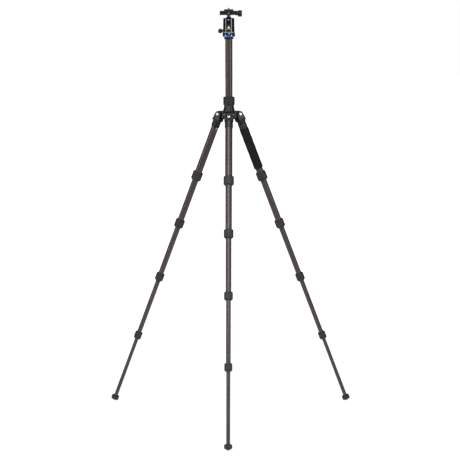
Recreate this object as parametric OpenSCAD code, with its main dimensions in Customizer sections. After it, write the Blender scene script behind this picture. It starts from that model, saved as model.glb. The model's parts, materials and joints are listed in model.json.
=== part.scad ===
// Travel tripod: five-section twist-lock legs that fold back over a sliding
// centre column, and a ball head with a screw clamp and quick-release plate.
// The origin is on the column axis at floor level, +Z up. The front leg points along -Y.

/* [Stance] */
// Angle of each leg from the vertical
leg_angle = 23.3; // [18:0.1:27]
// Distance of the leg pivots from the column axis
pivot_r = 37; // [36.5:0.5:44]

/* [Leg tubes] */
// Outside diameter of the upper leg tube
tube_d = 25; // [24:0.5:26]
// Difference in outside diameter from one leg tube to the next
tube_step = 3; // [2.8:0.1:3.2]
// Wall of every leg tube
tube_wall = 1; // [0.8:0.05:1.15]
// Distance from the pivot to the middle of the first leg lock
upper_reach = 241; // [225:1:280]
// Distance from the first leg lock to the second
section_reach = 189; // [150:1:195]
// Length of each inner tube that stays inside the outer one at full height
engagement = 45; // [35:1:60]
// Room left above an inner tube when its section is pushed right in
top_margin = 2; // [1:0.5:4]
// Running clearance of guides, collets and hinge pins
play = 0.05; // [0.02:0.01:0.1]
// Clearance between parts that never touch
gap = 0.35; // [0.3:0.05:0.5]

/* [Leg locks] */
// Length of the first leg lock collar
lock_len = 31; // [28:0.5:36]
// How much shorter each next collar is
lock_len_step = 1.4; // [0.5:0.1:2]
// Thickness of a collar over its tube
lock_wall = 5.3; // [5:0.1:5.8]
// Thickness of the threaded ferrule on each tube end
ferrule_wall = 1.8; // [1.4:0.1:2.2]
// Height of the lips that close a collar at both ends
lock_lip = 2; // [1.5:0.1:2.5]
// Gap between two collars when a section is pushed right in
stack_gap = 0.8; // [0.5:0.1:2]
// Depth of the finger flutes
flute_depth = 0.7; // [0.4:0.1:1]
// Width of the finger flutes
flute_w = 3; // [2:0.1:3.4]

/* [Feet] */
// Diameter of the rubber foot
foot_d = 27; // [26:0.5:32]
// Length of the rubber foot
foot_len = 20; // [18:0.5:26]
// Radius of the rounded tip that stands on the floor
foot_tip_r = 5; // [3:0.5:8]
// Slope of the foot's lower cone from flat
foot_cone = 28; // [27.5:0.5:34]

/* [Shoulder] */
// Height of the pivot arms above the pivot axis
arm_rise = 11.5; // [10.5:0.1:12.5]
// Depth of the shoulder hub below the pivot axis
hub_drop = 17; // [14:0.5:20]
// Outside diameter of the hub between the arms
hub_d = 41; // [39:0.5:42]
// Diameter of the neck under the column lock
neck_d = 33; // [32.5:0.5:36]
// Height of the cone from the arms to the neck
neck_rise = 20; // [15:0.5:25]
// Thickness of the arm that a leg turns on
arm_w = 17.4; // [16:0.2:18]
// Radius of the rounded and notched end of an arm
arm_end_r = 10; // [9.5:0.1:10.5]
// Diameter of a pivot bolt
bolt_d = 7; // [6:0.5:8]
// Diameter of a pivot bolt's head
bolt_head_d = 10.5; // [9.5:0.5:12]
// Thickness of a pivot bolt's head
bolt_head_t = 1.9; // [1.5:0.1:2.5]

/* [Leg knuckles] */
// Thickness of each ear of the leg knuckle
ear_t = 7; // [6:0.2:8]
// Length of the knuckle from the pivot to its lower end
knuckle_len = 49; // [44:0.5:56]
// Length of the shorter knuckle on the leg that unscrews
short_knuckle_len = 36; // [34:0.5:38]
// Distance from the pivot to the web between the ears
web_start = 14.5; // [14:0.1:15]
// Distance from the pivot to the upper end of the leg tube
tube_start = 26; // [24:0.5:28]
// Wall of the socket round the leg tube
socket_wall = 1.7; // [1.3:0.1:2]
// Width of the raised rib down the outside of the knuckle
rib_w = 7.5; // [4:0.5:8]
// Height of that rib over the socket
rib_rise = 1.1; // [0.6:0.1:1.6]
// Width of the pull tab that sets the leg angle
tab_w = 8.6; // [7:0.2:10]
// Thickness of the angle tab along the leg
tab_t = 5.6; // [4:0.2:6]
// Travel of the angle tab when it is pulled
tab_travel = 2.7; // [2.4:0.1:3]

/* [Grip leg] */
// Diameter of the foam grip
foam_d = 32; // [30:0.5:36]
// Length of bare tube between the foam grip and the first leg lock
foam_bare = 16.5; // [10:0.5:40]
// Distance from the pivot to the top of the foam grip
foam_start = 56; // [56:0.5:60]
// Length of the screw ring that frees the leg
grip_ring_len = 18.5; // [15:0.5:18.5]
// Diameter of the screw ring
grip_ring_d = 29.6; // [28.5:0.1:31]
// Diameter of the small stud on the left leg
stud_d = 6.6; // [5:0.2:8]

/* [Centre column] */
// Outside diameter of the column tube
column_d = 25; // [24:0.1:25.4]
// Wall of the column tube
column_wall = 1.2; // [1:0.1:1.5]
// Length of column between its lock and the head at full height
column_out = 199; // [150:1:215]
// Length of the column lock collar
column_lock_len = 29; // [27:0.5:34]
// Diameter of the column lock collar
column_lock_d = 40; // [39:0.5:41]
// Diameter of the stop on the lower end of the column
end_cap_d = 29; // [28:0.5:31]
// Height of that stop
end_cap_h = 11; // [9:0.5:14]
// Outside diameter of the weight hook's ring
hook_d = 17; // [15:0.5:19]
// Thickness of the weight hook's ring
hook_t = 3.4; // [3:0.2:4]
// How far the sprung hook can be pushed up into the column
hook_travel = 8; // [5:0.5:9]

/* [Ball head] */
// Diameter of the plate between column and head
plate_seat_d = 34.2; // [32:0.2:36]
// Thickness of that plate
plate_seat_t = 6; // [5:0.5:7]
// Diameter of the head's blue panning base
base_d = 42.8; // [41:0.5:44]
// Height of the base's straight band
base_band_h = 12.5; // [10:0.5:15]
// Height of the base's lower cone
base_cone_h = 2.5; // [2:0.5:4]
// Diameter of the housing at its foot
housing_d = 39.8; // [38.5:0.1:40.5]
// Diameter of the housing at its top
housing_top_d = 38.2; // [37:0.1:39]
// Height of the housing
housing_h = 51.5; // [48:0.5:53]
// Diameter of the ball
ball_d = 30; // [29:0.2:30.4]
// Depth of the ball's centre below the top of the housing
ball_depth = 10.4; // [9:0.2:11]
// Clearance round the ball
ball_gap = 0.3; // [0.2:0.05:0.4]
// Diameter of the stem between ball and clamp
stem_d = 12.8; // [10:0.2:12.8]
// Distance from the ball's centre to the clamp
stem_len = 20.4; // [20.2:0.1:24]
// Width of the drop slot at the front
slot_w = 13.8; // [13:0.1:15]
// Depth of the drop slot
slot_depth = 28.3; // [25:0.1:30]
// Diameter of the pan lock knob
pan_knob_d = 15.6; // [14:0.2:17]
// Diameter of the main lock knob
main_knob_d = 22; // [20:0.5:23]

/* [Clamp and plate] */
// Length of the clamp along its screw, without the moving jaw
clamp_w = 48; // [46:0.5:50]
// Depth of the clamp from front to back
clamp_depth = 38; // [34:0.5:40]
// Diameter of the bubble level in the clamp's front
level_d = 6.6; // [5:0.2:7]
// Thickness of the clamp's floor
clamp_floor = 9.6; // [9:0.1:10.5]
// Height of the jaws over the floor
jaw_rise = 5; // [4.5:0.1:5.5]
// Width of the plate's dovetail
dovetail_w = 38; // [37:0.5:39]
// Depth of the plate from front to back
plate_depth = 40; // [36:0.5:44]
// Thickness of the plate
plate_t = 10; // [9:0.1:11]
// Travel of the moving jaw
jaw_travel = 4; // [3:0.5:4]
// Thickness of the moving jaw
jaw_t = 12; // [10:0.5:14]
// Diameter of the clamp knob
clamp_knob_d = 22; // [20:0.2:23]
// Length of the clamp knob
clamp_knob_len = 14.4; // [12:0.2:16]
// Diameter of the camera screw, a quarter inch
screw_d = 6.35; // [6.35:0.01:6.36]
// Height of the camera screw over the plate
screw_rise = 4.5; // [4:0.1:6]

/* [Hidden] */
LEG_NAMES = ["front", "right", "left"];
LEG_AZIMUTHS = [270, 30, 150];
LEG_PARTS = ["knuckle", "angle_tab", "tube_1", "tube_2", "tube_3", "tube_4", "tube_5",
             "lock_1", "lock_2", "lock_3", "lock_4", "foot"];
OTHER_NODES = ["shoulder", "pivot_bolts", "column_guides", "column_lock", "column_tube",
               "column_end_cap", "weight_hook", "head_seat_plate", "pan_base",
               "head_housing", "ball_seat", "housing_screw", "pan_knob", "main_knob",
               "ball_stem", "clamp_body", "bubble_level", "clamp_jaw", "clamp_knob",
               "quick_plate", "camera_screw", "foam_grip", "grip_ring", "leg_stud"];
// Leg angles that the tab holds: as set, low and lower
STOP_ANGLES = [leg_angle, 55, 80];
$fn = 64;
// Overrun of every cut past the face it goes through
over = 1;
// Softened edge of small turned parts
edge_r = 1;
// Hinge bore in a knuckle and screw bores
bore_play = 2 * play;

// Leg sizes that follow from the driving ones. Section n runs from 1 to 5.
tube_gap = tube_step / 2 - tube_wall;
function tube_r(n) = (tube_d - (n - 1) * tube_step) / 2;
function collar_len(n) = lock_len - (n - 1) * lock_len_step;
function collar_r(n) = tube_r(n) + lock_wall;
function stacked(n) = n == 5 ? collar_len(4) / 2 + stack_gap + foot_len / 2
    : (collar_len(n - 1) + collar_len(n)) / 2 + stack_gap;
function travel(n) = n == 2 ? section_reach - stacked(2) : pitch(n - 1) - top_margin;
function pitch(n) = n == 2 ? section_reach : travel(n) + stacked(n);
function tube_end(n) = n == 1 ? upper_reach : tube_end(n - 1) + pitch(n);
function tube_top(n) = n == 1 ? tube_start : tube_end(n - 1) - engagement;
foot_s = tube_end(5);
tip_s = foot_s + foot_len / 2 - foot_tip_r;
foam_len = tube_end(1) - collar_len(1) / 2 - foam_bare - foam_start;
pivot_z = tip_s * cos(leg_angle) + foot_tip_r;

// Heights of the column and the head, stacked from the pivots up
neck_z = pivot_z + arm_rise + neck_rise;
lock_top_z = neck_z + column_lock_len;
seat_z = lock_top_z + column_out;
base_z = seat_z + plate_seat_t;
housing_z = base_z + base_cone_h + base_band_h;
housing_top_z = housing_z + housing_h;
ball_z = housing_top_z - ball_depth;
clamp_z = ball_z + stem_len;
floor_z = clamp_z + clamp_floor;
plate_z = floor_z + gap;
column_low_z = pivot_z - hub_drop - gap - end_cap_h;
waist_r = 0.85 * plate_seat_d / 2;
pan_knob_z = housing_z + 0.45 * pan_knob_d;
main_knob_z = ball_z - 0.4 * ball_d;
slot_z = housing_top_z - slot_depth;
flat_y = sqrt(pow(housing_d / 2, 2) - pow(slot_w / 2 + edge_r, 2));
dot_z = slot_z - bolt_d / 2 - edge_r;

// Knuckle and arm sizes that fit each other
fork_half = arm_w / 2 + gap;
ear_out = fork_half + ear_t;
ear_r = 1.05 * arm_end_r;
socket_r = tube_d / 2 + socket_wall;
ear_edge = 0.4 * ear_t;
tab_s = web_start - tab_t - gap;
tab_in = sqrt(pow(arm_end_r + gap, 2) - pow(tab_s, 2));
tab_out = socket_r + rib_rise - tab_travel;
tab_key_w = tab_w / 3;
tab_key_h = tab_t / 3;
stud_s = knuckle_len + gap + stud_d / 2;

// Column bore and threads
column_r = column_d / 2;
guide_t = 0.9 * tube_wall;
hub_bore_r = column_r + play + guide_t;
thread_r = hub_bore_r + ferrule_wall;
thread_h = column_lock_len / 2;

// Clamp places along its screw
screw_z = clamp_z + 0.57 * clamp_floor;
dove_h = jaw_rise - gap;
body_right = dovetail_w / 2 - 2 * edge_r;
fixed_x = body_right - clamp_w;
jaw_out = dovetail_w / 2 + jaw_t;
level_h = 0.6 * clamp_floor;
level_y = clamp_depth / 2 - edge_r;

// Points of an arc about [x, y] from angle a to angle b
function arc(x, y, r, a, b, steps = 6) =
    [for (i = [0:steps]) [x + r * cos(a + (b - a) * i / steps),
                          y + r * sin(a + (b - a) * i / steps)]];

// Outline of a turned knob from 0 to h, with both rims rounded
function knob_outline(r, h, round_r) = concat([[0, 0]],
    arc(r - round_r, round_r, round_r, -90, 0), arc(r - round_r, h - round_r, round_r, 0, 90),
    [[0, h]]);

// A solid of revolution whose outline lies in [radius, height]
module turned(points) rotate_extrude() polygon(points);

// A plain tube along Z
module sleeve(outer, inner, h) difference() {
    cylinder(r = outer, h = h);
    translate([0, 0, -over]) cylinder(r = inner, h = h + 2 * over);
}

// Straight flutes cut into a round grip of radius r between two heights
module flutes(count, r, low, high, width, depth) {
    cutter = (pow(width / 2, 2) + pow(depth, 2)) / (2 * depth);
    for (i = [0:count - 1]) rotate([0, 0, i * 360 / count])
        translate([r - depth + cutter, 0, low]) cylinder(r = cutter, h = high - low);
}

// Puts its children, drawn with the pivot at the origin and the leg down -Z, on leg i
module on_leg(i) rotate([0, 0, LEG_AZIMUTHS[i]]) translate([pivot_r, 0, pivot_z])
    rotate([0, -leg_angle, 0]) children();

// Cast knuckle: a fork over the shoulder's arm, a ribbed socket round the upper tube and
// a keyway for the angle tab
module knuckle(i) color("dimgray") on_leg(i) {
    len = i == 1 ? short_knuckle_len : knuckle_len;
    rib_low = 2 * edge_r - len;
    difference() {
        union() {
            intersection() {
                rotate([90, 0, 0]) translate([0, 0, -ear_out])
                    linear_extrude(2 * ear_out) {
                        circle(r = ear_r);
                        polygon([[-ear_r, 0], [-socket_r, -tube_start],
                                 [socket_r, -tube_start], [ear_r, 0]]);
                    }
                rotate([90, 0, 90]) translate([0, 0, -2 * socket_r])
                    linear_extrude(4 * socket_r)
                        polygon([[-ear_out, ear_r - ear_edge], [-ear_out, -0.7 * tube_start],
                                 [-socket_r, -tube_start], [socket_r, -tube_start],
                                 [ear_out, -0.7 * tube_start], [ear_out, ear_r - ear_edge],
                                 [ear_out - ear_edge, ear_r], [ear_edge - ear_out, ear_r]]);
            }
            translate([0, 0, -len]) turned([[0, 0], [socket_r - edge_r, 0],
                [socket_r, edge_r], [socket_r, len - tube_start], [0, len - tube_start]]);
            rotate([90, 0, 0]) translate([0, 0, -rib_w / 2]) linear_extrude(rib_w)
                polygon([[0, -web_start], [tab_out - edge_r, -web_start],
                         [socket_r + rib_rise, -tube_start], [socket_r + rib_rise, rib_low],
                         [0, rib_low]]);
        }
        translate([-2 * socket_r, -fork_half, -web_start])
            cube([4 * socket_r, 2 * fork_half, 4 * web_start]);
        rotate([90, 0, 0]) cylinder(r = bolt_d / 2 + play, h = 4 * ear_out, center = true);
        translate([0, 0, -len - over])
            cylinder(r = tube_r(1), h = len + over - tube_start);
        translate([tab_in - gap, -tab_key_w / 2 - bore_play, -web_start - tab_key_h - gap])
            cube([4 * socket_r, tab_key_w + 2 * bore_play, web_start]);
    }
}

// Pull tab between the ears, on a key that slides in the web
module angle_tab(i) color("silver") on_leg(i) translate([0, 0, -web_start]) {
    translate([tab_in, -tab_w / 2, gap]) cube([tab_out - tab_in, tab_w, tab_t]);
    translate([tab_in, -tab_key_w / 2, -tab_key_h])
        cube([tab_out - tab_in, tab_key_w, tab_key_h + tab_t]);
    translate([tab_out, 0, gap]) cylinder(r = tab_w / 6, h = tab_t);
}

// One leg tube with the guides on its head and the ferrule and collet of its lock
module leg_tube(i, n) color("#5b5551") on_leg(i) {
    r = tube_r(n);
    end = tube_end(n);
    translate([0, 0, -end]) sleeve(r, r - tube_wall, end - tube_top(n));
    if (n > 1) guides(n);
    if (n < 5) {
        ferrule(n);
        collet(n);
    }
}

// Two half shells that keep the head of tube n central in the tube above
module guides(n) {
    r = tube_r(n);
    guide_h = engagement / 2;
    translate([0, 0, -tube_top(n) - edge_r - guide_h]) difference() {
        sleeve(r + tube_gap - play, r + play, guide_h);
        cube([4 * r, tube_step, 4 * guide_h], center = true);
    }
}

// Ferrule bonded to the lower end of tube n
module ferrule(n) {
    r = tube_r(n);
    ferrule_h = collar_len(n) / 2 - lock_lip - gap;
    translate([0, 0, -tube_end(n)]) sleeve(r + ferrule_wall, r + play, ferrule_h);
}

// Split cone that the collar of lock n presses on the next tube
module collet(n) {
    r_in = tube_r(n + 1) + play;
    r_top = tube_r(n) + ferrule_wall - gap;
    r_low = r_in + ferrule_wall / 2;
    collet_h = collar_len(n) / 2 - lock_lip - 2 * gap;
    translate([0, 0, -tube_end(n) - gap - collet_h]) difference() {
        turned([[r_in, 0], [r_low, 0], [r_top, 0.7 * collet_h], [r_top, collet_h],
                [r_in, collet_h]]);
        translate([0, -tube_wall / 2, -over]) cube([2 * r_top, tube_wall, collet_h + 2 * over]);
    }
}

// Twist collar of leg lock n, with flutes, a seat for the collet and room for the ferrule
module leg_lock(i, n) color("#2f2f34") on_leg(i) {
    len = collar_len(n);
    r = collar_r(n);
    seat_r = tube_r(n) + ferrule_wall + gap;
    low_r = tube_r(n + 1) + 2 * gap;
    slope = 0.7 * lock_wall;
    round_r = 0.55 * lock_wall;
    translate([0, 0, -tube_end(n) - len / 2]) difference() {
        turned(concat([[low_r, 0], [r - slope, 0], [r, slope]],
            arc(r - round_r, len - round_r, round_r, 0, 90),
            [[tube_r(n) + gap, len], [tube_r(n) + gap, len - lock_lip],
             [seat_r, len - lock_lip], [seat_r, lock_lip + 0.3 * len],
             [low_r + ferrule_wall / 2 + gap, lock_lip], [low_r, lock_lip]]));
        flutes(18, r, 1.2 * slope, len - 1.3 * round_r, flute_w, flute_depth);
    }
}

// Rubber foot with a rounded shoulder, a belt and a cone that ends in a rounded tip
module foot(i) color("#262626") on_leg(i) {
    r = foot_d / 2;
    round_r = foot_len / 4;
    cone_drop = (r - foot_tip_r * sin(foot_cone)) * tan(foot_cone);
    belt = foot_tip_r * (1 - cos(foot_cone)) + cone_drop;
    translate([0, 0, -foot_s - foot_len / 2]) difference() {
        turned(concat(arc(0, foot_tip_r, foot_tip_r, -90, foot_cone - 90, 4),
            [[r, belt]], arc(r - round_r, foot_len - round_r, round_r, 0, 90),
            [[0, foot_len]]));
        translate([0, 0, foot_len / 2]) cylinder(r = tube_r(5), h = foot_len);
    }
}

// Foam sleeve round the upper tube of the right leg
module foam_grip() color("#2a2526") on_leg(1) {
    round_r = (foam_d / 2 - tube_r(1)) / 2;
    translate([0, 0, -foam_start - foam_len]) turned(concat([[tube_r(1), 0]],
        arc(foam_d / 2 - round_r, round_r, round_r, -90, 0),
        arc(foam_d / 2 - round_r, foam_len - round_r, round_r, 0, 90),
        [[tube_r(1), foam_len]]));
}

// Knurled ring that frees the right leg from its knuckle
module grip_ring() color("#333338") on_leg(1) {
    r = grip_ring_d / 2;
    low = -short_knuckle_len - gap - grip_ring_len;
    translate([0, 0, low]) difference() {
        turned([[tube_r(1), 0], [r - edge_r, 0], [r, edge_r], [r, grip_ring_len - edge_r],
                [r - edge_r, grip_ring_len], [tube_r(1), grip_ring_len]]);
        flutes(24, r, 3 * edge_r, grip_ring_len - 3 * edge_r, flute_w / 2, flute_depth / 2);
    }
}

// Small domed stud on the upper tube of the left leg
module leg_stud() color("silver") on_leg(2) rotate([0, 0, 150])
    translate([0, 0, -stud_s]) rotate([0, 90, 0]) difference() {
        translate([0, 0, tube_r(1) - edge_r]) turned(knob_outline(stud_d / 2,
            stud_d / 2 + edge_r, edge_r));
        rotate([0, 90, 0]) cylinder(r = tube_r(1), h = 2 * stud_d, center = true);
    }

// Shoulder casting: hub, neck with the column thread and three notched arms
module shoulder() color("#3a3a3c") translate([0, 0, pivot_z]) {
    neck_h = arm_rise + neck_rise;
    difference() {
        union() {
            turned([[0, -hub_drop], [hub_d / 2 - edge_r, -hub_drop],
                    [hub_d / 2, edge_r - hub_drop], [hub_d / 2, arm_rise],
                    [neck_d / 2, neck_h], [thread_r, neck_h],
                    [thread_r, neck_h + thread_h], [0, neck_h + thread_h]]);
            for (a = LEG_AZIMUTHS) rotate([0, 0, a]) arm();
        }
        translate([0, 0, -hub_drop - over])
            cylinder(r = hub_bore_r, h = hub_drop + neck_h + thread_h + 2 * over);
    }
}

// One arm of the shoulder, with a bolt bore, the notches that the angle tab meets and the
// trough on top that takes the tab when the leg is folded back
module arm() difference() {
    rotate([90, 0, 0]) translate([0, 0, -arm_w / 2]) linear_extrude(arm_w) difference() {
        union() {
            translate([pivot_r, 0]) circle(r = arm_end_r);
            polygon([[hub_bore_r + edge_r, edge_r - hub_drop],
                     [hub_d / 2, edge_r - hub_drop],
                     [pivot_r - 0.7 * arm_end_r, -0.75 * arm_end_r],
                     [pivot_r + 0.5 * arm_end_r, 0], [pivot_r + 0.5 * arm_end_r, arm_rise / 2],
                     [pivot_r, arm_rise], [hub_bore_r + edge_r, arm_rise]]);
        }
        translate([pivot_r, 0]) circle(r = bolt_d / 2);
        for (stop = STOP_ANGLES) translate([pivot_r, 0])
            rotate(stop - 90 + atan2(tab_in, tab_s)) translate([arm_end_r, 0])
                circle(r = edge_r);
    }
    translate([0, -tab_w / 2 - gap, tab_s - gap])
        cube([pivot_r + arm_end_r + over, tab_w + 2 * gap, arm_rise]);
}

// Three pivot bolts, each with two domed heads and a hex socket
module pivot_bolts() color("silver") for (a = LEG_AZIMUTHS) rotate([0, 0, a])
    translate([pivot_r, 0, pivot_z]) rotate([90, 0, 0]) difference() {
        half = ear_out + gap / 2;
        turned([[0, -half - bolt_head_t], [bolt_head_d / 2 - edge_r, -half - bolt_head_t],
                [bolt_head_d / 2, edge_r - half - bolt_head_t], [bolt_head_d / 2, -half],
                [bolt_d / 2, -half], [bolt_d / 2, half], [bolt_head_d / 2, half],
                [bolt_head_d / 2, half + bolt_head_t - edge_r],
                [bolt_head_d / 2 - edge_r, half + bolt_head_t], [0, half + bolt_head_t]]);
        for (end = [-1, 1]) translate([0, 0, end * (half + bolt_head_t)])
            cylinder(r = bolt_head_d / 4, h = bolt_head_t, center = true, $fn = 6);
    }

// Lower bush, and the split cone that the column lock presses on the column
module column_guides() color("ivory") {
    cone_z = neck_z + thread_h + gap;
    cone_h = column_lock_len - thread_h - lock_lip - 2 * gap;
    translate([0, 0, pivot_z - hub_drop]) sleeve(hub_bore_r, column_r + play, hub_drop);
    translate([0, 0, cone_z]) difference() {
        turned([[column_r + play, 0], [thread_r - gap, 0], [thread_r - gap, 0.3 * cone_h],
                [column_r + ferrule_wall / 2, cone_h], [column_r + play, cone_h]]);
        translate([0, -tube_wall / 2, -over])
            cube([2 * thread_r, tube_wall, cone_h + 2 * over]);
    }
}

// Twist collar that locks the column
module column_lock() color("#2f2f34") {
    r = column_lock_d / 2;
    round_r = lock_wall / 2;
    top_r = column_r + 2 * gap;
    translate([0, 0, neck_z + gap]) difference() {
        h = column_lock_len - gap;
        turned(concat([[thread_r + gap, 0], [r - edge_r, 0], [r, edge_r]],
            arc(r - round_r, h - round_r, round_r, 0, 90),
            [[top_r, h], [top_r, h - lock_lip],
             [top_r + ferrule_wall / 2, h - lock_lip],
             [thread_r + gap, thread_h + 0.3 * (h - thread_h)]]));
        flutes(20, r, 1.6 * round_r, h - 1.6 * round_r, flute_w, flute_depth);
    }
}

module column_tube() color("#5b5551") translate([0, 0, column_low_z + end_cap_h / 2])
    sleeve(column_r, column_r - column_wall, seat_z - column_low_z - end_cap_h / 2);

// Stop on the column's lower end, with the sprung hook's bore
module column_end_cap() color("#2c2c2e") translate([0, 0, column_low_z]) difference() {
    r = end_cap_d / 2;
    plug_r = column_r - column_wall;
    turned(concat([[0, 0]], arc(r - 2 * edge_r, 2 * edge_r, 2 * edge_r, -90, 0),
        [[r, end_cap_h], [column_r, end_cap_h], [column_r, end_cap_h / 2],
         [plug_r, end_cap_h / 2], [plug_r, 2 * end_cap_h], [0, 2 * end_cap_h]]));
    translate([0, 0, -over]) cylinder(r = hook_t + bore_play, h = 2 * end_cap_h + 2 * over);
}

// Weight hook: a ring on a sliding stem, with a collar that keeps the stem in
module weight_hook() color("silver") {
    ring_r = hook_d / 2;
    ring_z = column_low_z - hook_travel - gap - ring_r - hook_t / 2;
    head_z = column_low_z + 2 * end_cap_h + gap;
    difference() {
        union() {
            translate([0, 0, ring_z]) rotate([90, 0, 0])
                cylinder(r = ring_r, h = hook_t, center = true);
            translate([0, 0, ring_z + ring_r - hook_t / 2])
                cylinder(r = hook_t, h = head_z - ring_z - ring_r + hook_t / 2);
            translate([0, 0, head_z]) cylinder(r = 2 * hook_t, h = hook_t);
        }
        translate([0, 0, ring_z]) rotate([90, 0, 0])
            cylinder(r = ring_r - hook_t, h = 3 * hook_t, center = true);
    }
}

// Cone screwed into the column's head, with a plug inside the tube
module head_seat_plate() color("#2c2c2e") translate([0, 0, seat_z]) turned([
    [0, -2 * plate_seat_t], [column_r - column_wall, -2 * plate_seat_t],
    [column_r - column_wall, 0], [plate_seat_d / 2 - edge_r / 2, 0],
    [plate_seat_d / 2, edge_r / 2], [plate_seat_d / 2, plate_seat_t / 3],
    [waist_r, plate_seat_t], [0, plate_seat_t]]);

// Anodised panning base: a cone over the waist and a straight band
module pan_base() color("#1f57c4") translate([0, 0, base_z]) {
    r = base_d / 2;
    top = base_cone_h + base_band_h;
    turned([[0, 0], [waist_r, 0], [r - edge_r, base_cone_h], [r, base_cone_h + edge_r],
            [r, top - edge_r / 2], [r - edge_r / 2, top], [0, top]]);
}

// Head housing: a tapered cup with a rounded rim, the ball's cavity, the drop slot in a
// milled flat at the front, a lip and an index pointer at the foot
module head_housing() color("#2d2d2f") translate([0, 0, housing_z]) {
    r = housing_d / 2;
    top_r = housing_top_d / 2;
    round_r = 3 * edge_r;
    lip_h = 2 * edge_r;
    knob_z = main_knob_z - housing_z;
    slot_low = slot_z - housing_z;
    difference() {
        union() {
            turned(concat([[0, gap / 2], [r + edge_r, gap / 2], [r + edge_r, lip_h],
                           [r, lip_h + edge_r]],
                arc(top_r - round_r, housing_h - round_r, round_r, 0, 90), [[0, housing_h]]));
            translate([0, 0, knob_z]) rotate([-90, 0, 0])
                cylinder(r = 0.36 * main_knob_d, h = r + 2 * edge_r);
            translate([-slot_w / 4, -r - 1.5 * edge_r, gap / 2])
                cube([slot_w / 2, r / 2, 2 * lip_h]);
        }
        translate([0, 0, housing_h - ball_depth]) sphere(r = ball_d / 2 + ball_gap);
        translate([0, 0, housing_h - ball_depth / 5])
            cylinder(r1 = 0.8 * ball_d / 2, r2 = 0.93 * ball_d / 2, h = ball_depth / 5 + over);
        rotate([90, 0, 0]) linear_extrude(2 * r) {
            translate([0, slot_low + slot_w / 2]) circle(d = slot_w);
            translate([-slot_w / 2, slot_low + slot_w / 2]) square([slot_w, slot_depth]);
        }
        translate([-slot_w, 0, 0]) rotate([90, 0, 90]) linear_extrude(2 * slot_w)
            polygon([[-flat_y, slot_low / 2 + 2 * edge_r], [-flat_y, 2 * housing_h],
                     [-2 * r, 2 * housing_h], [-2 * r, slot_low / 2], [-r - edge_r, slot_low / 2]]);
        translate([0, 0, knob_z]) rotate([-90, 0, 0]) translate([0, 0, ball_d / 2])
            cylinder(r = bolt_d / 2, h = 2 * r);
        translate([0, 0, pan_knob_z - housing_z]) rotate([0, -90, 0])
            translate([0, 0, r / 2]) cylinder(r = bolt_d / 3, h = 2 * r);
        translate([0, 0, dot_z - housing_z]) rotate([90, 0, 0])
            translate([0, 0, flat_y - edge_r]) cylinder(r = bolt_d / 2 + play, h = r);
        seat_cavity();
    }
}

// Room under the ball for its seat, drawn from the foot of the housing
module seat_cavity() translate([0, 0, housing_h - ball_depth - ball_d / 2 - 2 * plate_seat_t])
    cylinder(r = 0.36 * ball_d, h = ball_d / 2 + 2 * plate_seat_t);

// Sprung cup that the ball turns in
module ball_seat() color("ivory") translate([0, 0, ball_z]) difference() {
    translate([0, 0, -ball_d / 2 - 2 * plate_seat_t])
        cylinder(r = 0.36 * ball_d - play, h = 0.2 * ball_d + 2 * plate_seat_t);
    sphere(r = ball_d / 2 + play);
}

// Bright screw head under the drop slot
module housing_screw() color("white") translate([0, 0, dot_z]) rotate([90, 0, 0])
    translate([0, 0, flat_y - edge_r]) turned(
        knob_outline(bolt_d / 2, bolt_head_t + edge_r, edge_r));

// Round pan lock knob on the left, with its screw
module pan_knob() color("#232325") translate([0, 0, pan_knob_z]) rotate([0, -90, 0])
    difference() {
        r = pan_knob_d / 2;
        h = 1.92 * r;
        start = base_d / 2 + edge_r / 2;
        union() {
            translate([0, 0, housing_d / 3]) cylinder(r = bolt_d / 3 - play, h = housing_d / 3);
            translate([0, 0, start]) turned(knob_outline(r, h, 0.8 * r));
        }
        flutes(12, r, start + 0.3 * h, start + 0.7 * h, flute_w / 1.5, flute_depth);
    }

// Main ball lock knob at the back, with its screw
module main_knob() color("#232325") translate([0, 0, main_knob_z]) rotate([-90, 0, 0])
    difference() {
        r = main_knob_d / 2;
        h = 1.2 * r;
        start = housing_d / 2 + 2 * edge_r + gap;
        union() {
            translate([0, 0, ball_d / 2 + edge_r]) cylinder(r = bolt_d / 2 - play, h = ball_d / 2);
            translate([0, 0, start]) turned(knob_outline(r, h, 0.2 * r));
        }
        flutes(14, r, start + 0.25 * r, start + h - 0.25 * r, flute_w, flute_depth);
    }

// Anodised ball with its stem
module ball_stem() color("#17418f") translate([0, 0, ball_z]) {
    sphere(r = ball_d / 2);
    cylinder(r = stem_d / 2, h = stem_len);
    translate([0, 0, stem_len - 1.5 * edge_r]) cylinder(r = slot_w / 2 - gap, h = 1.5 * edge_r);
}

// Cross-section of the clamp's floor and fixed jaw, in X and height over clamp_z
function clamp_outline() = let (foot_x = dovetail_w / 2 + gap, top = clamp_floor + jaw_rise) [
    [fixed_x + edge_r, 0], [body_right, 0], [body_right, clamp_floor],
    [-foot_x, clamp_floor], [-foot_x, clamp_floor + dove_h / 3],
    [dove_h * 2 / 3 - foot_x, clamp_floor + dove_h], [dove_h * 2 / 3 - foot_x, top],
    [fixed_x + 2 * edge_r, top], [fixed_x, top - 2 * edge_r], [fixed_x, edge_r]];

// Cross-section of the moving jaw
function jaw_outline() = let (foot_x = dovetail_w / 2 + gap, top = clamp_floor + jaw_rise) [
    [body_right + gap, edge_r], [jaw_out - edge_r, edge_r], [jaw_out, 2 * edge_r],
    [jaw_out, top - 2 * edge_r], [jaw_out - 2 * edge_r, top],
    [foot_x - dove_h * 2 / 3, top], [foot_x - dove_h * 2 / 3, clamp_floor + dove_h],
    [foot_x, clamp_floor + dove_h / 3], [foot_x, clamp_floor],
    [body_right + gap, clamp_floor]];

// A bar of the given depth along Y from an outline in X and Z
module bar(points, depth) rotate([90, 0, 0]) translate([0, 0, -depth / 2])
    linear_extrude(depth) polygon(points);

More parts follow.
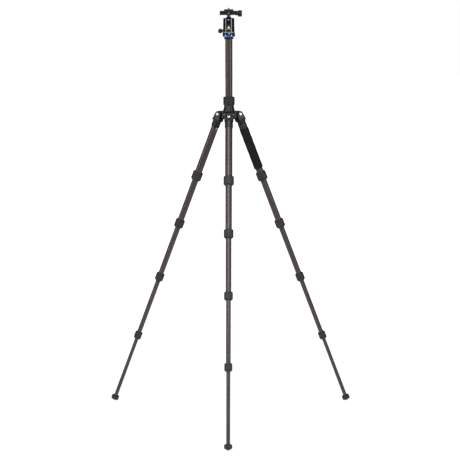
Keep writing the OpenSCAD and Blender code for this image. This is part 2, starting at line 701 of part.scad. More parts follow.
// Clamp floor with the fixed jaw, on the ball's stem, with the jaw's two guide rods
module clamp_body() color("#333335") translate([0, 0, clamp_z]) {
    difference() {
        bar(clamp_outline(), clamp_depth);
        translate([0, 0, screw_z - clamp_z]) rotate([0, 90, 0])
            cylinder(r = bolt_d / 2 + play, h = 2 * clamp_w);
        translate([0, -level_y, level_h]) rotate([90, 0, 0])
            cylinder(r = level_d / 2, h = clamp_depth);
    }
    for (side = [-1, 1]) translate([body_right - edge_r, side * clamp_depth / 3, screw_z - clamp_z])
        rotate([0, 90, 0]) cylinder(d = bolt_d / 2, h = edge_r + jaw_travel + jaw_t / 3);
}

// Bubble level in the clamp's front face
module bubble_level() color("lavender") translate([0, -level_y, clamp_z + level_h])
    rotate([90, 0, 0]) turned(knob_outline(level_d / 2, 1.5 * edge_r, edge_r / 2));

// Moving jaw with a boss round its screw, bored for the screw and the guide rods
module clamp_jaw() color("#333335") translate([0, 0, clamp_z]) difference() {
    union() {
        bar(jaw_outline(), clamp_depth);
        translate([jaw_out - 0.8 * jaw_t, 0, screw_z - clamp_z]) rotate([0, 90, 0])
            cylinder(r = 0.3 * clamp_knob_d, h = 0.8 * jaw_t);
    }
    translate([0, 0, screw_z - clamp_z]) rotate([0, 90, 0])
        cylinder(r = bolt_d / 2 + play, h = 2 * clamp_w);
    for (side = [-1, 1]) translate([0, side * clamp_depth / 3, screw_z - clamp_z])
        rotate([0, 90, 0]) cylinder(r = bolt_d / 4 + play, h = 2 * clamp_w);
}

// Clamp knob with its screw through the jaw into the floor
module clamp_knob() color("#232325") translate([0, 0, screw_z]) rotate([0, 90, 0])
    difference() {
        r = clamp_knob_d / 2;
        start = jaw_out + gap;
        union() {
            translate([0, 0, body_right / 2])
                cylinder(r = bolt_d / 2, h = start + edge_r - body_right / 2);
            translate([0, 0, start]) turned(knob_outline(r, clamp_knob_len, 0.2 * r));
        }
        flutes(12, r, start + 0.3 * r, start + clamp_knob_len - 0.3 * r, 1.4 * flute_w,
               1.4 * flute_depth);
    }

// Quick-release plate: dovetail, raised deck, a rubber pad and a recess for the screw
module quick_plate() color("#3c3c3e") translate([0, 0, plate_z]) {
    half = dovetail_w / 2;
    deck = half - dove_h * 2 / 3;
    pad_t = edge_r / 2;
    pad_in = screw_d / 2 + edge_r;
    pad_w = deck - 2 * edge_r - pad_in;
    difference() {
        bar([[-half, 0], [half, 0], [half, dove_h / 3], [deck, dove_h],
             [deck, plate_t - pad_t - edge_r], [deck - edge_r, plate_t - pad_t],
             [edge_r - deck, plate_t - pad_t], [-deck, plate_t - pad_t - edge_r],
             [-deck, dove_h], [-half, dove_h / 3]], plate_depth);
        translate([0, 0, -over]) cylinder(r = 1.5 * screw_d + gap, h = over + plate_t / 2);
        cylinder(r = screw_d / 2 + gap, h = 2 * plate_t);
    }
    for (side = [-1, 1]) translate([side * (pad_in + pad_w / 2), 0, plate_t - pad_t / 2 + play / 2])
        cube([pad_w, plate_depth - 4 * edge_r, pad_t - play], center = true);
}

// Camera screw with a slotted head in the plate's recess
module camera_screw() color("silver") translate([0, 0, plate_z]) difference() {
    union() {
        translate([0, 0, gap]) cylinder(r = 1.5 * screw_d, h = plate_t / 2 - 2 * gap);
        translate([0, 0, gap]) cylinder(d = 0.7 * screw_d, h = plate_t + gap);
        translate([0, 0, plate_t]) cylinder(d = screw_d, h = screw_rise);
    }
    cube([4 * screw_d, screw_d / 4, plate_t / 2], center = true);
}

// Draws one of a leg's nodes by name
module leg_part(i, part) {
    if (part == "knuckle") knuckle(i);
    if (part == "angle_tab") angle_tab(i);
    if (part == "foot") foot(i);
    for (n = [1:5]) if (part == str("tube_", n)) leg_tube(i, n);
    for (n = [1:4]) if (part == str("lock_", n)) leg_lock(i, n);
}

for (i = [0:2]) for (part = LEG_PARTS)
    leg_part(i, part);
shoulder();
pivot_bolts();
column_guides();
column_lock();
column_tube();
column_end_cap();
weight_hook();
head_seat_plate();
pan_base();
head_housing();
ball_seat();
housing_screw();
pan_knob();
main_knob();
ball_stem();
clamp_body();
bubble_level();
clamp_jaw();
clamp_knob();
quick_plate();
camera_screw();
foam_grip();
grip_ring();
leg_stud();
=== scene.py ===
"""Looks of the travel tripod: materials, fine pieces, studio and camera, in metres."""
import json
import math

import bpy
from mathutils import Matrix, Vector


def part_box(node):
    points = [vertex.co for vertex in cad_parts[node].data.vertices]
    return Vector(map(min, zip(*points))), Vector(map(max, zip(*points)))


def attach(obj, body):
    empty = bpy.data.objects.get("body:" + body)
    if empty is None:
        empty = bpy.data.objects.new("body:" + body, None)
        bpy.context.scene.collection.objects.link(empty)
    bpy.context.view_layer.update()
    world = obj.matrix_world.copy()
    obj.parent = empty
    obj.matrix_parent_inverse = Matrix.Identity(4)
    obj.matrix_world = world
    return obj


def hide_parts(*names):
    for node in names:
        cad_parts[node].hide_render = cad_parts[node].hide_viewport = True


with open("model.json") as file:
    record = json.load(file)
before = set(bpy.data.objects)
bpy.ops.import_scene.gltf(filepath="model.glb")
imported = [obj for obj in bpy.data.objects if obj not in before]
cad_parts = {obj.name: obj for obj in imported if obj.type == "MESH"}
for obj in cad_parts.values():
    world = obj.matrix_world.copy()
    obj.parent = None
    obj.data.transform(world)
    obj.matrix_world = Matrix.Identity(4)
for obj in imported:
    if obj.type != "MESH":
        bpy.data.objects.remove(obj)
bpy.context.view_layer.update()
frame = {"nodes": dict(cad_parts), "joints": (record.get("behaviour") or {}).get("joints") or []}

MM = 0.001
LEGS = ("front", "right", "left")
SECTIONS = 5
NODES = frame["nodes"]
JOINTS = {j["name"]: j for j in frame["joints"]}


# Frames of the three legs and the column, from the part's own joints
class Space:
    """A frame whose Z runs up a tube's axis and whose origin lies on that axis."""

    def __init__(self, origin=(0, 0, 0), down=(0, 0, -1), side=(0, -1, 0)):
        up = -Vector(down).normalized()
        across = Vector(side).normalized()
        self.matrix = Matrix((across.cross(up), across, up)).transposed().to_4x4()
        self.matrix.translation = Vector(origin)
        self.location = Vector(origin)
        self.rotation = self.matrix.to_euler()


def leg_space(leg):
    swing, slide = JOINTS[f"{leg}_leg_swing"], JOINTS[f"{leg}_section_2_slide"]
    return Space(swing["pos_m"], slide["axis"], swing["axis"])


# The column's Y points at the camera, so the tripod's front is +Y there
COLUMN = Space()
LEG_SPACE = {leg: leg_space(leg) for leg in LEGS}


def points_in(node, space):
    back = space.matrix.inverted()
    return [back @ v.co for v in NODES[node].data.vertices]


def reach(node, space=COLUMN):
    """Lowest and highest place along the axis of a round node, and its largest radius."""
    points = points_in(node, space)
    heights = [p.z for p in points]
    return min(heights), max(heights), max(math.hypot(p.x, p.y) for p in points)


# Sockets of a Mix node that mixes colours
COLOR_A, COLOR_B, COLOR_RESULT = 6, 7, 2
# Width of the soft ends of a mask
SOFT = 0.3 * MM
# Spans that hold most of a noise texture's values
NOISE_SPAN = (0.3, 0.7)
PATCH_SPAN = (0.35, 0.7)


class Graph:
    """Short calls for the nodes of a material, with places in a tube's own frame."""

    def __init__(self, name, space=COLUMN, material=None):
        self.material = material or bpy.data.materials.new(name)
        self.material.use_nodes = True
        self.tree = self.material.node_tree
        self.shader = self.tree.nodes["Principled BSDF"]
        place = self.add("ShaderNodeTexCoord").outputs["Object"]
        mapping = self.add("ShaderNodeMapping", vector_type="TEXTURE")
        mapping.inputs["Location"].default_value = space.location
        mapping.inputs["Rotation"].default_value = space.rotation
        self.join(place, mapping.inputs["Vector"])
        self.place = mapping.outputs["Vector"]
        axes = self.add("ShaderNodeSeparateXYZ")
        self.join(self.place, axes.inputs[0])
        self.x, self.y, self.z = axes.outputs

    def add(self, kind, **settings):
        made = self.tree.nodes.new(kind)
        for key, value in settings.items():
            setattr(made, key, value)
        return made

    def join(self, source, socket):
        self.tree.links.new(source, socket)

    def feed(self, socket, value):
        if isinstance(value, bpy.types.NodeSocket):
            self.join(value, socket)
        elif isinstance(value, tuple):
            socket.default_value = (*value, 1)
        else:
            socket.default_value = value

    def feeder(self, name):
        """What the shader's socket is fed by so far."""
        return self.shader.inputs[name].links[0].from_socket

    def math(self, operation, a, b=0.0):
        made = self.add("ShaderNodeMath", operation=operation)
        for socket, value in zip(made.inputs, (a, b)):
            self.feed(socket, value)
        return made.outputs[0]

    def times(self, a, b):
        return self.math("MULTIPLY", a, b)

    def rest(self, share):
        return self.math("SUBTRACT", 1.0, share)

    def ramp(self, value, low, high, out_low=0.0, out_high=1.0):
        made = self.add("ShaderNodeMapRange", interpolation_type="SMOOTHSTEP")
        for name, number in (("Value", value), ("From Min", low), ("From Max", high),
                             ("To Min", out_low), ("To Max", out_high)):
            self.feed(made.inputs[name], number)
        return made.outputs[0]

    def band(self, value, low, high, rise=SOFT, fall=SOFT):
        """One between two places, with soft ends outside them."""
        return self.times(self.ramp(value, low - rise, low),
                          self.ramp(value, high, high + fall, 1.0, 0.0))

    def mix(self, share, a, b):
        made = self.add("ShaderNodeMix", data_type="RGBA")
        self.feed(made.inputs["Factor"], share)
        self.feed(made.inputs[COLOR_A], a)
        self.feed(made.inputs[COLOR_B], b)
        return made.outputs[COLOR_RESULT]

    def vector(self, x, y, z):
        made = self.add("ShaderNodeCombineXYZ")
        for socket, value in zip(made.inputs, (x, y, z)):
            self.feed(socket, value)
        return made.outputs[0]

    def stretched(self, across, along):
        """The place, scaled across the axis and along it."""
        return self.vector(self.times(self.x, across), self.times(self.y, across),
                           self.times(self.z, along))

    def noise(self, scale, detail=3, vector=None):
        made = self.add("ShaderNodeTexNoise")
        self.join(vector or self.place, made.inputs["Vector"])
        made.inputs["Scale"].default_value = scale
        made.inputs["Detail"].default_value = detail
        return made.outputs["Fac"]

    def cells(self, scale, feature="F1"):
        made = self.add("ShaderNodeTexVoronoi", feature=feature)
        self.join(self.place, made.inputs["Vector"])
        made.inputs["Scale"].default_value = scale
        return made.outputs["Distance"]

    def angle(self):
        return self.math("ARCTAN2", self.y, self.x)

    def bump(self, height, distance, strength, over=None):
        made = self.add("ShaderNodeBump")
        made.inputs["Distance"].default_value = distance
        made.inputs["Strength"].default_value = strength
        self.join(height, made.inputs["Height"])
        if over:
            self.join(over, made.inputs["Normal"])
        return made.outputs["Normal"]

    def set(self, **sockets):
        for name, value in sockets.items():
            self.feed(self.shader.inputs[name.replace("_", " ")], value)
        return self.material


def dress(node, material):
    mesh = NODES[node].data
    mesh.materials.clear()
    mesh.materials.append(material)


def scaled(tone, factor):
    return tuple(factor * c for c in tone)


# Carbon tubes: tones, and the grain's counts a metre across the tube and along it
CARBON = (0.023, 0.019, 0.0175)
CARBON_LIGHT = (0.066, 0.055, 0.051)
CARBON_BROWN = (0.036, 0.023, 0.020)
CARBON_SHEEN = (1.0, 0.86, 0.82)
WEAVE = 2.4 * MM
WEAVE_HEIGHT = 0.01 * MM
FIBRE_GRAIN = (900, 9)
STREAK_GRAIN = (160, 2)


def carbon(name, space, radius):
    """Woven carbon laminate under a satin varnish, with faint streaks down the tube."""
    g = Graph(name, space)
    around = round(2 * math.pi * radius / WEAVE / 2) * 2
    turn = g.times(g.angle(), around / (2 * math.pi))
    down = g.math("DIVIDE", g.z, WEAVE)
    weave = g.add("ShaderNodeTexChecker")
    g.join(g.vector(g.math("ADD", turn, down), g.math("SUBTRACT", turn, down), 0.5),
           weave.inputs["Vector"])
    weave.inputs["Scale"].default_value = 1.0
    fibre = g.noise(1.0, 2, g.stretched(*FIBRE_GRAIN))
    streak = g.noise(1.0, 2, g.stretched(*STREAK_GRAIN))
    base = g.mix(g.ramp(streak, 0.35, 0.65), CARBON, CARBON_BROWN)
    base = g.mix(g.ramp(fibre, 0.45, 0.7, 0.0, 0.7), base, CARBON_LIGHT)
    base = g.mix(g.times(weave.outputs["Fac"], 0.22), base, CARBON_LIGHT)
    return g.set(Base_Color=base, Roughness=g.ramp(fibre, *NOISE_SPAN, 0.34, 0.46),
                 Coat_Weight=0.45, Coat_Roughness=0.26,
                 Specular_IOR_Level=0.6, Specular_Tint=CARBON_SHEEN,
                 Normal=g.bump(weave.outputs["Fac"], WEAVE_HEIGHT, 0.4))


# Rubber, paint, foam and plastic: tones, and the sizes and heights of their grain.
# Patches are counted a metre.
LOCK = (0.020, 0.020, 0.024)
COLUMN_LOCK = (0.011, 0.011, 0.013)
LOCK_PEBBLE = 1.1 * MM
LOCK_PEBBLE_HEIGHT = 0.12 * MM
LOCK_PATCHES = 60
PAINT = (0.008, 0.008, 0.0082)
PAINT_GRAIN = 0.8 * MM
PAINT_GRAIN_HEIGHT = 0.05 * MM
PAINT_PATCHES = 35
FOAM = (0.009, 0.0072, 0.0072)
FOAM_LIGHT = (0.016, 0.0132, 0.0132)
FOAM_PORE = 0.7 * MM
FOAM_PORE_DEPTH = 0.25 * MM
FOAM_PATCHES = 120
FOOT = (0.016, 0.016, 0.017)
FOOT_LIGHT = (0.028, 0.028, 0.029)
FOOT_GRAIN = 0.9 * MM
FOOT_GRAIN_HEIGHT = 0.1 * MM
KNOB = (0.009, 0.009, 0.0095)
KNOB_LIGHT = (0.016, 0.015, 0.015)
KNOB_GRAIN = 0.7 * MM
KNOB_GRAIN_HEIGHT = 0.08 * MM
PLASTIC_GRAIN = 1.5 * MM
PLASTIC_GRAIN_HEIGHT = 0.03 * MM


def collar_rubber(name, space=COLUMN, tone=LOCK):
    """Grip rubber with a fine pebble, polished a little in patches."""
    g = Graph(name, space)
    pebble = g.cells(1 / LOCK_PEBBLE, "SMOOTH_F1")
    patch = g.noise(LOCK_PATCHES)
    return g.set(Base_Color=g.mix(g.ramp(patch, *PATCH_SPAN), tone, scaled(tone, 1.5)),
                 Roughness=g.ramp(patch, *NOISE_SPAN, 0.42, 0.55),
                 Normal=g.bump(pebble, LOCK_PEBBLE_HEIGHT, 0.6))


def cast_paint(name, space=COLUMN):
    """Satin black paint on a casting, with its fine orange-peel grain."""
    g = Graph(name, space)
    grain = g.noise(1 / PAINT_GRAIN, 2)
    patch = g.noise(PAINT_PATCHES)
    return g.set(Base_Color=g.mix(g.ramp(patch, *PATCH_SPAN), PAINT, scaled(PAINT, 1.4)),
                 Roughness=g.ramp(patch, *NOISE_SPAN, 0.34, 0.46),
                 Normal=g.bump(grain, PAINT_GRAIN_HEIGHT, 0.5))


def foam_skin():
    """Closed-cell foam: tiny pores over a soft, slightly mottled skin."""
    g = Graph("foam_skin", LEG_SPACE["right"])
    pores = g.cells(1 / FOAM_PORE)
    mottle = g.noise(FOAM_PATCHES, 4)
    return g.set(Base_Color=g.mix(g.ramp(mottle, 0.35, 0.65), FOAM, FOAM_LIGHT),
                 Roughness=g.ramp(mottle, *NOISE_SPAN, 0.72, 0.86),
                 Normal=g.bump(pores, FOAM_PORE_DEPTH, 0.7), Specular_IOR_Level=0.15)


def foot_rubber(name, space):
    """Dull moulded rubber with a coarse grain."""
    g = Graph(name, space)
    mottle = g.noise(1 / FOOT_GRAIN)
    return g.set(Base_Color=g.mix(g.ramp(mottle, *NOISE_SPAN), FOOT, FOOT_LIGHT),
                 Roughness=g.ramp(mottle, *NOISE_SPAN, 0.5, 0.62),
                 Normal=g.bump(mottle, FOOT_GRAIN_HEIGHT, 0.5))


def knob_rubber():
    """Fine-grained black rubber of the three knobs."""
    g = Graph("knob_rubber")
    mottle = g.noise(1 / KNOB_GRAIN, 2)
    return g.set(Base_Color=g.mix(g.ramp(mottle, *NOISE_SPAN), KNOB, KNOB_LIGHT),
                 Roughness=g.ramp(mottle, *NOISE_SPAN, 0.35, 0.5),
                 Normal=g.bump(mottle, KNOB_GRAIN_HEIGHT, 0.5), Specular_IOR_Level=0.3)


def plastic(name, tone):
    """Smooth moulded plastic with a faint mottle."""
    g = Graph(name)
    mottle = g.noise(1 / PLASTIC_GRAIN, 2)
    return g.set(Base_Color=g.mix(g.ramp(mottle, *NOISE_SPAN), tone, scaled(tone, 0.9)),
                 Roughness=g.ramp(mottle, *NOISE_SPAN, 0.4, 0.5),
                 Normal=g.bump(mottle, PLASTIC_GRAIN_HEIGHT, 0.4))


# Metals: sizes of the turned rings, the scratches and the camera screw's thread.
# Patches are counted a metre.
TURNED_RING = 0.22 * MM
METAL_PATCHES = 80
SCRATCH = 0.5 * MM
SCRATCH_DEPTH = 0.01 * MM
SCREW_PITCH = 1.27 * MM


def anodised(name, tone, rough, metal, coat):
    """Dyed anodised aluminium, turned, so it is finely ringed about its axis."""
    g = Graph(name)
    rings = g.noise(1.0, 1, g.vector(0.0, 0.0, g.math("DIVIDE", g.z, TURNED_RING)))
    patch = g.noise(METAL_PATCHES)
    return g.set(Base_Color=g.mix(g.ramp(patch, *NOISE_SPAN), tone, scaled(tone, 0.85)),
                 Metallic=metal, Coat_Weight=coat, Coat_Roughness=0.5 * rough,
                 Roughness=g.ramp(rings, *NOISE_SPAN, rough, rough + 0.08),
                 Normal=g.bump(rings, SCRATCH_DEPTH, 0.5))


def steel(name, space=COLUMN, pitch=None, tone=0.62):
    """Bright brushed steel. With a pitch it shows a thread about its axis."""
    g = Graph(name, space)
    scratch = g.noise(1 / SCRATCH)
    dull = (tone, 0.98 * tone, 0.97 * tone)
    bright = (1.25 * tone, 1.23 * tone, 1.21 * tone)
    normal = g.bump(scratch, SCRATCH_DEPTH, 0.4)
    if pitch:
        turn = g.math("DIVIDE", g.angle(), 2 * math.pi)
        rise = g.math("SUBTRACT", g.math("DIVIDE", g.z, pitch), turn)
        normal = g.bump(g.math("PINGPONG", rise, 0.5), 0.8 * pitch, 1.0, normal)
    return g.set(Base_Color=g.mix(g.ramp(scratch, *NOISE_SPAN), dull, bright), Metallic=0.95,
                 Roughness=g.ramp(scratch, *NOISE_SPAN, 0.2, 0.32), Normal=normal)


# Housing: the pale chamfer, and the ledge under the slot with its painted highlight, up from the
# foot, and the ledge's half width and how far it stands before the axis
HOUSING = (0.008, 0.0075, 0.0075)
CHAMFER_PALE = (0.55, 0.51, 0.52)
# Painted highlight: the pale tone of the ledge under the slot
LEDGE_PAINTED_HIGHLIGHT = (0.45, 0.43, 0.44)
VARNISH = (1.0, 0.95, 0.92)
CHAMFER_LOW, CHAMFER_HIGH = 1.8 * MM, 2.8 * MM
CHAMFER_RISE, CHAMFER_FALL = 0.6 * MM, 0.8 * MM
LEDGE_LOW, LEDGE_HIGH = 11.8 * MM, 13.6 * MM
LEDGE_HALF = 8 * MM
LEDGE_FRONT = 17.6 * MM


def housing_metal():
    """Black anodised housing, with a paler chamfer and a painted highlight on its ledge."""
    low, _, _ = reach("head_housing")
    material = anodised("housing_anodised", HOUSING, rough=0.2, metal=0.2, coat=1.0)
    g = Graph(material.name, material=material)
    chamfer = g.band(g.z, low + CHAMFER_LOW, low + CHAMFER_HIGH, CHAMFER_RISE, CHAMFER_FALL)
    # Painted highlight: the ledge under the slot is painted pale where light catches it
    ledge = g.times(g.band(g.z, low + LEDGE_LOW, low + LEDGE_HIGH),
                    g.band(g.x, -LEDGE_HALF, LEDGE_HALF))
    ledge = g.times(ledge, g.ramp(g.y, LEDGE_FRONT - SOFT, LEDGE_FRONT))
    base = g.mix(chamfer, g.feeder("Base Color"), CHAMFER_PALE)
    return g.set(Base_Color=g.mix(ledge, base, LEDGE_PAINTED_HIGHLIGHT), Coat_IOR=1.68,
                 Coat_Roughness=0.16, Coat_Tint=VARNISH)


# Panning base: a band painted dark as painted shade over a bright cone with a painted highlight
# at its foot, and an index mark down from the top.
# X runs to the left in the photo.
BLUE = (0.06, 0.33, 1.0)
BLUE_PAINTED_HIGHLIGHT = (0.35, 0.7, 1.0)
# Painted shade: the almost black tone of the band over the cone
BLUE_PAINTED_SHADE = (0.006, 0.014, 0.055)
MARK = (0.45, 0.45, 0.48)
SHADE_BAND_SHARES = (0.3, 0.65)
HIGHLIGHT_LOW, HIGHLIGHT_HIGH = 1 * MM, 4 * MM
MARK_X = (-4.2 * MM, 1.8 * MM)
MARK_TOP, MARK_FOOT = 1 * MM, 4 * MM
MARK_FRONT = 2 * MM
BASE_METAL = 0.9


def blue_base():
    """Blue anodised base: a bright cone with a painted pale highlight at its foot, under a band
    painted almost black as painted shade.
    """
    low, high, _ = reach("pan_base")
    material = anodised("blue_anodised", BLUE, rough=0.26, metal=BASE_METAL, coat=1.0)
    g = Graph(material.name, material=material)
    # Painted shade: the band over the cone is painted almost black
    band = g.ramp(g.z, *(low + share * (high - low) for share in SHADE_BAND_SHARES))
    # Painted highlight: the foot of the cone is painted pale blue
    foot = g.ramp(g.z, low + HIGHLIGHT_LOW, low + HIGHLIGHT_HIGH, 1.0, 0.0)
    mark = g.times(g.band(g.x, *MARK_X), g.band(g.z, high - MARK_FOOT, high - MARK_TOP))
    mark = g.times(mark, g.ramp(g.y, MARK_FRONT / 2, MARK_FRONT))
    base = g.mix(foot, g.feeder("Base Color"), BLUE_PAINTED_HIGHLIGHT)
    base = g.mix(band, base, BLUE_PAINTED_SHADE)
    return g.set(Base_Color=g.mix(mark, base, MARK), Coat_IOR=1.9,
                 Coat_Weight=g.rest(g.times(band, 0.7)),
                 Metallic=g.times(g.rest(mark), BASE_METAL))


# Ball: heights from the housing's rim, between which its tone changes: painted shade inside the
# housing, a painted highlight on the stem
BALL = (0.025, 0.07, 0.24)
BALL_PAINTED_SHADE = (0.004, 0.006, 0.014)
STEM_PAINTED_HIGHLIGHT = (0.13, 0.16, 0.25)
SHADE_LOW, SHADE_HIGH = -9 * MM, -3 * MM
STEM_LOW, STEM_HIGH = 3.5 * MM, 5 * MM


def ball_metal():
    """Blue anodised ball, darker as painted shade where the housing holds it, with a stem
    painted lighter and greyer as a painted highlight.
    """
    _, rim, _ = reach("head_housing")
    material = anodised("ball_anodised", BALL, rough=0.14, metal=0.9, coat=0.8)
    g = Graph(material.name, material=material)
    # Painted shade on the ball inside the housing
    held_shade = g.ramp(g.z, rim + SHADE_LOW, rim + SHADE_HIGH, 1.0, 0.0)
    # Painted highlight: the stem is painted lighter and greyer
    stem = g.ramp(g.z, rim + STEM_LOW, rim + STEM_HIGH)
    base = g.mix(stem, g.feeder("Base Color"), STEM_PAINTED_HIGHLIGHT)
    return g.set(Base_Color=g.mix(held_shade, base, BALL_PAINTED_SHADE), Coat_IOR=1.6)


# Plate: depth of the pads' top layer, and the pitch and height of their ribs
PLATE = (0.012, 0.0115, 0.012)
PAD = (0.02, 0.02, 0.021)
PAD_DEPTH = 0.4 * MM
PAD_EDGE = 0.05 * MM
RIB_PITCH = 1.6 * MM
RIB_HEIGHT = 0.35 * MM
PLATE_COAT = 0.4


def plate_metal():
    """Black anodised plate whose two pads on top are ribbed rubber."""
    _, top, _ = reach("quick_plate")
    material = anodised("plate_anodised", PLATE, rough=0.3, metal=0.25, coat=PLATE_COAT)
    g = Graph(material.name, material=material)
    pad = g.ramp(g.z, top - PAD_DEPTH - PAD_EDGE, top - PAD_DEPTH)
    rib = g.math("PINGPONG", g.math("DIVIDE", g.x, RIB_PITCH), 0.5)
    return g.set(Base_Color=g.mix(pad, g.feeder("Base Color"), PAD),
                 Roughness=g.math("MAXIMUM", g.feeder("Roughness"), g.times(pad, 0.65)),
                 Coat_Weight=g.times(g.rest(pad), PLATE_COAT),
                 Normal=g.bump(g.times(rib, pad), RIB_HEIGHT, 0.8))


# Which node wears which material
LEG_SILVER = 0.3
HEAD_SILVER = 0.42
BLACK = (0.010, 0.0095, 0.0095)
DARK_PLASTIC = (0.022, 0.022, 0.023)
# Painted reflection: the nickel screw's own pale tone, laid on as a diffuse colour that also
# paints in its bright metal reflection
NICKEL_PAINTED_REFLECTION = (0.8, 0.79, 0.78)
LEVEL_GLASS = (0.10, 0.095, 0.13)


def dress_legs():
    for leg in LEGS:
        space = LEG_SPACE[leg]
        lock = collar_rubber(f"{leg}_collar_rubber", space)
        for n in range(1, SECTIONS + 1):
            _, _, radius = reach(f"{leg}_tube_{n}", space)
            dress(f"{leg}_tube_{n}", carbon(f"{leg}_carbon_{n}", space, radius))
            if n < SECTIONS:
                dress(f"{leg}_lock_{n}", lock)
        dress(f"{leg}_knuckle", cast_paint(f"{leg}_casting", space))
        dress(f"{leg}_angle_tab", steel(f"{leg}_steel", space, tone=LEG_SILVER))
        dress(f"{leg}_foot", foot_rubber(f"{leg}_foot_rubber", space))
    dress("grip_ring", collar_rubber("grip_ring_rubber", LEG_SPACE["right"]))
    dress("foam_grip", foam_skin())


def dress_column_and_head():
    _, _, column_radius = reach("column_tube")
    dress("shoulder", cast_paint("shoulder_casting"))
    dress("column_lock", collar_rubber("column_collar_rubber", tone=COLUMN_LOCK))
    dress("column_tube", carbon("column_carbon", COLUMN, column_radius))
    dress("head_housing", housing_metal())
    dress("quick_plate", plate_metal())
    dress("pan_base", blue_base())
    dress("ball_stem", ball_metal())
    dress("camera_screw", steel("screw_steel", pitch=SCREW_PITCH))
    # The housing screw's pale diffuse tone is partly painted reflection
    dress("housing_screw", plastic("nickel", NICKEL_PAINTED_REFLECTION))
    dress("bubble_level", plastic("level_glass", LEVEL_GLASS))
    black = anodised("black_anodised", BLACK, rough=0.26, metal=0.25, coat=0.5)
    for material, nodes in (
            (black, ("column_end_cap", "head_seat_plate", "clamp_body", "clamp_jaw")),
            (knob_rubber(), ("pan_knob", "main_knob", "clamp_knob")),
            (steel("steel", tone=HEAD_SILVER), ("pivot_bolts", "weight_hook", "leg_stud")),
            (plastic("dark_plastic", DARK_PLASTIC), ("column_guides", "ball_seat"))):
        for node in nodes:
            dress(node, material)


dress_legs()
dress_column_and_head()


# Pieces that the CAD model leaves to this script, and the steps in their round edges
QUARTER_STEPS = 6


def turned(name, points, space, sides):
    """A closed solid of revolution from its outline in [radius, height] on a space's axis."""
    count = len(points)
    places = [space.matrix @ Vector((r * math.cos(a), r * math.sin(a), z))
              for a in (2 * math.pi * i / sides for i in range(sides)) for r, z in points]
    faces = [(i * count + k, (i + 1) % sides * count + k,
              (i + 1) % sides * count + (k + 1) % count, i * count + (k + 1) % count)
             for i in range(sides) for k in range(count)]
    mesh = bpy.data.meshes.new(name)
    mesh.from_pydata(places, [], faces)
    mesh.shade_smooth()
    piece = bpy.data.objects.new(name, mesh)
    bpy.context.scene.collection.objects.link(piece)
    return piece


def quarter(centre, radius, start):
    """Points of a quarter turn about a centre in [radius, height]."""
    turns = [start + math.pi / 2 * i / QUARTER_STEPS for i in range(QUARTER_STEPS + 1)]
    return [(centre[0] + radius * math.cos(a), centre[1] + radius * math.sin(a)) for a in turns]


FOAM_SINK = 0.25 * MM
FOAM_END_SHARE = 0.6
FOAM_WAVES = 4.5
FOAM_ROWS = 40
FOAM_SIDES = 96


def foam_sleeve():
    """The foam grip: soft ends, and a skin that swells and sinks a little along its length."""
    space = LEG_SPACE["right"]
    low, high, radius = reach("foam_grip", space)
    _, _, bore = reach("right_tube_1", space)
    end = FOAM_END_SHARE * (radius - bore)
    outer = radius - FOAM_SINK
    length = high - low - 2 * end
    side = [(outer + FOAM_SINK * math.sin(2 * math.pi * FOAM_WAVES * i / FOAM_ROWS),
             low + end + length * i / FOAM_ROWS) for i in range(1, FOAM_ROWS)]
    points = [(bore, low), *quarter((outer - end, low + end), end, -math.pi / 2), *side,
              *quarter((outer - end, high - end), end, 0), (bore, high)]
    piece = turned("foam_sleeve", points, space, FOAM_SIDES)
    piece.data.materials.append(bpy.data.materials["foam_skin"])
    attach(piece, "right_leg")
    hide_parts("foam_grip")


RING_BORE = 2.4 * MM
RING_RADIUS = 5.6 * MM
RING_BEVEL = 0.5 * MM
NECK_DEPTH = 2 * MM
RING_SIDES = 64
BOSS_ROOT_SHARE = 0.9


def knob_foot():
    """A boss on the housing and a neck on the pan lock knob, which meet round its screw.

    The boss is rooted in the housing's wall and ends level with the edge of the base. The
    neck starts where the knob starts and reaches into its rounded end.
    """
    low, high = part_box("pan_knob")
    _, _, face = reach("pan_base")
    _, _, wall = reach("housing_screw")
    space = Space((0, 0, (low[2] + high[2]) / 2), down=(1, 0, 0))
    start = min(p.z for p in points_in("pan_knob", space) if math.hypot(p.x, p.y) > RING_BORE)
    root = BOSS_ROOT_SHARE * wall
    end = start + NECK_DEPTH
    inset = RING_RADIUS - RING_BEVEL
    boss = [(RING_BORE, root), (RING_RADIUS, root),
            *quarter((inset, face - RING_BEVEL), RING_BEVEL, 0), (RING_BORE, face)]
    neck = [(RING_BORE, start), *quarter((inset, start + RING_BEVEL), RING_BEVEL, -math.pi / 2),
            (RING_RADIUS, end), (RING_BORE, end)]
    for name, outline, body, look, slot in (
            ("pan_knob_boss", boss, "head", "black_anodised", "black_metal"),
            ("pan_knob_neck", neck, "pan_knob", "knob_rubber", "knob_rubber")):
        piece = turned(name, outline, space, RING_SIDES)
        piece.data.materials.append(bpy.data.materials[look])
        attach(piece, body)


foam_sleeve()
knob_foot()

# Camera, fitted to the photograph
PHOTO_PX = 460
FOCAL_PX = 1658
SENSOR = 36
RANGE = 5.82
PITCH = math.radians(6.94)
ROLL = math.radians(-0.14)
YAW = math.radians(0.62)
AIM = Vector((0.0025, 0, 0.664))
CLIP_END = 60


def place_camera():
    data = bpy.data.cameras.new("camera")
    data.lens = SENSOR * FOCAL_PX / PHOTO_PX
    data.sensor_width = SENSOR
    data.clip_end = CLIP_END
    camera = bpy.data.objects.new("camera", data)
    bpy.context.scene.collection.objects.link(camera)
    forward = Vector((0, math.cos(PITCH), -math.sin(PITCH)))
    turn = Matrix.Rotation(YAW, 4, "Z")
    look = Matrix.Rotation(math.pi / 2 - PITCH, 4, "X") @ Matrix.Rotation(ROLL, 4, "Z")
    camera.matrix_world = turn @ Matrix.Translation(AIM - RANGE * forward) @ look
    bpy.context.scene.camera = camera


# Studio: a white world for the eye, two strip lights, a softbox above the front, a floor
AMBIENT = 0.34
DARK_STUDIO = 0.015


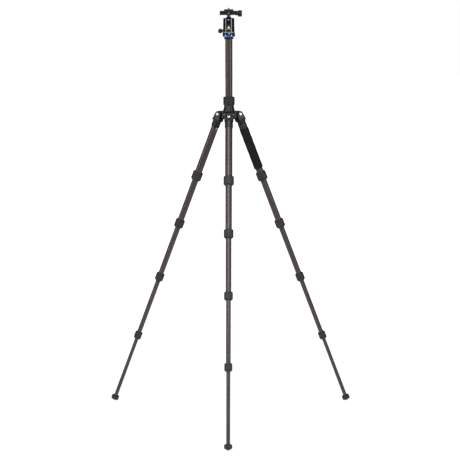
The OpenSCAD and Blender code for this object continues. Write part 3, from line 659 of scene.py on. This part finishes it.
def world_light():
    """White to the camera, dark to reflections, and a soft fill for everything else."""
    world = bpy.data.worlds.new("studio")
    bpy.context.scene.world = world
    world.use_nodes = True
    tree = world.node_tree
    rays = tree.nodes.new("ShaderNodeLightPath")
    level = AMBIENT
    for ray, seen in (("Is Glossy Ray", DARK_STUDIO), ("Is Transmission Ray", 1.0),
                      ("Is Camera Ray", 1.0)):
        pick = tree.nodes.new("ShaderNodeMix")
        tree.links.new(rays.outputs[ray], pick.inputs["Factor"])
        if level is AMBIENT:
            pick.inputs["A"].default_value = level
        else:
            tree.links.new(level, pick.inputs["A"])
        pick.inputs["B"].default_value = seen
        level = pick.outputs["Result"]
    back = tree.nodes["Background"]
    tree.links.new(level, back.inputs["Strength"])
    back.inputs["Color"].default_value = (1, 1, 1, 1)


# Each strip light's turn from the camera's side in degrees, and its power in watts
STRIPS = {"left": (-66, 19), "right": (56, 21)}
STRIP_RANGE = 2.6
STRIP_HEIGHT = 1.1
STRIP_SIZE = (0.55, 2.4)
SOFTBOX_PLACE = (-0.3, -2.4, 2.7)
SOFTBOX_SIZE = (2.2, 1.4)
SOFTBOX_POWER = 55
LIT_POINT = (0, 0, 0.8)


def area_light(name, place, size, power):
    data = bpy.data.lights.new(name, "AREA")
    data.shape = "RECTANGLE"
    data.size, data.size_y = size
    data.energy = power
    lamp = bpy.data.objects.new(name, data)
    bpy.context.scene.collection.objects.link(lamp)
    way = Vector(LIT_POINT) - Vector(place)
    lamp.matrix_world = (Matrix.Translation(place)
                         @ way.to_track_quat("-Z", "Y").to_matrix().to_4x4())
    lamp.visible_camera = False


def place_lights():
    for side, (degrees, power) in STRIPS.items():
        turn = math.radians(degrees)
        place = (STRIP_RANGE * math.sin(turn), -STRIP_RANGE * math.cos(turn), STRIP_HEIGHT)
        area_light(f"strip_{side}", place, STRIP_SIZE, power)
    area_light("front_softbox", SOFTBOX_PLACE, SOFTBOX_SIZE, SOFTBOX_POWER)


# Floor: half its width, its glow for the eye, and where it darkens for reflections
FLOOR_HALF = 40
FLOOR = (0.93, 0.93, 0.93)
FLOOR_DIM = (0.2, 0.2, 0.2)
FLOOR_GLOW = 1.17
GLOW_SHARE_NEAR = 0.75
GLOW_NEAR, GLOW_FAR = 0.62, 0.95
DIM_NEAR, DIM_FAR = 0.8, 1.5


def make_floor():
    """A pale floor that keeps the shadows near the tripod and turns white further out."""
    mesh = bpy.data.meshes.new("studio_floor")
    corners = [(x * FLOOR_HALF, y * FLOOR_HALF, 0)
               for x, y in ((-1, -1), (1, -1), (1, 1), (-1, 1))]
    mesh.from_pydata(corners, [], [(0, 1, 2, 3)])
    floor = bpy.data.objects.new("studio_floor", mesh)
    bpy.context.scene.collection.objects.link(floor)
    g = Graph("studio_floor")
    radius = g.math("SQRT", g.math("ADD", g.times(g.x, g.x), g.times(g.y, g.y)))
    rays = g.add("ShaderNodeLightPath")
    near = g.math("MAXIMUM", g.ramp(radius, GLOW_NEAR, GLOW_FAR), GLOW_SHARE_NEAR)
    glow = g.add("ShaderNodeEmission")
    glow.inputs["Strength"].default_value = FLOOR_GLOW
    blend = g.add("ShaderNodeMixShader")
    g.join(g.times(near, rays.outputs["Is Camera Ray"]), blend.inputs[0])
    g.join(g.shader.outputs[0], blend.inputs[1])
    g.join(glow.outputs[0], blend.inputs[2])
    g.join(blend.outputs[0], g.tree.nodes["Material Output"].inputs["Surface"])
    dim = g.times(rays.outputs["Is Glossy Ray"], g.ramp(radius, DIM_NEAR, DIM_FAR))
    g.set(Base_Color=g.mix(dim, FLOOR, FLOOR_DIM), Roughness=0.7)
    mesh.materials.append(g.material)


place_camera()
world_light()
place_lights()
make_floor()
bpy.context.scene.view_settings.view_transform = "Standard"
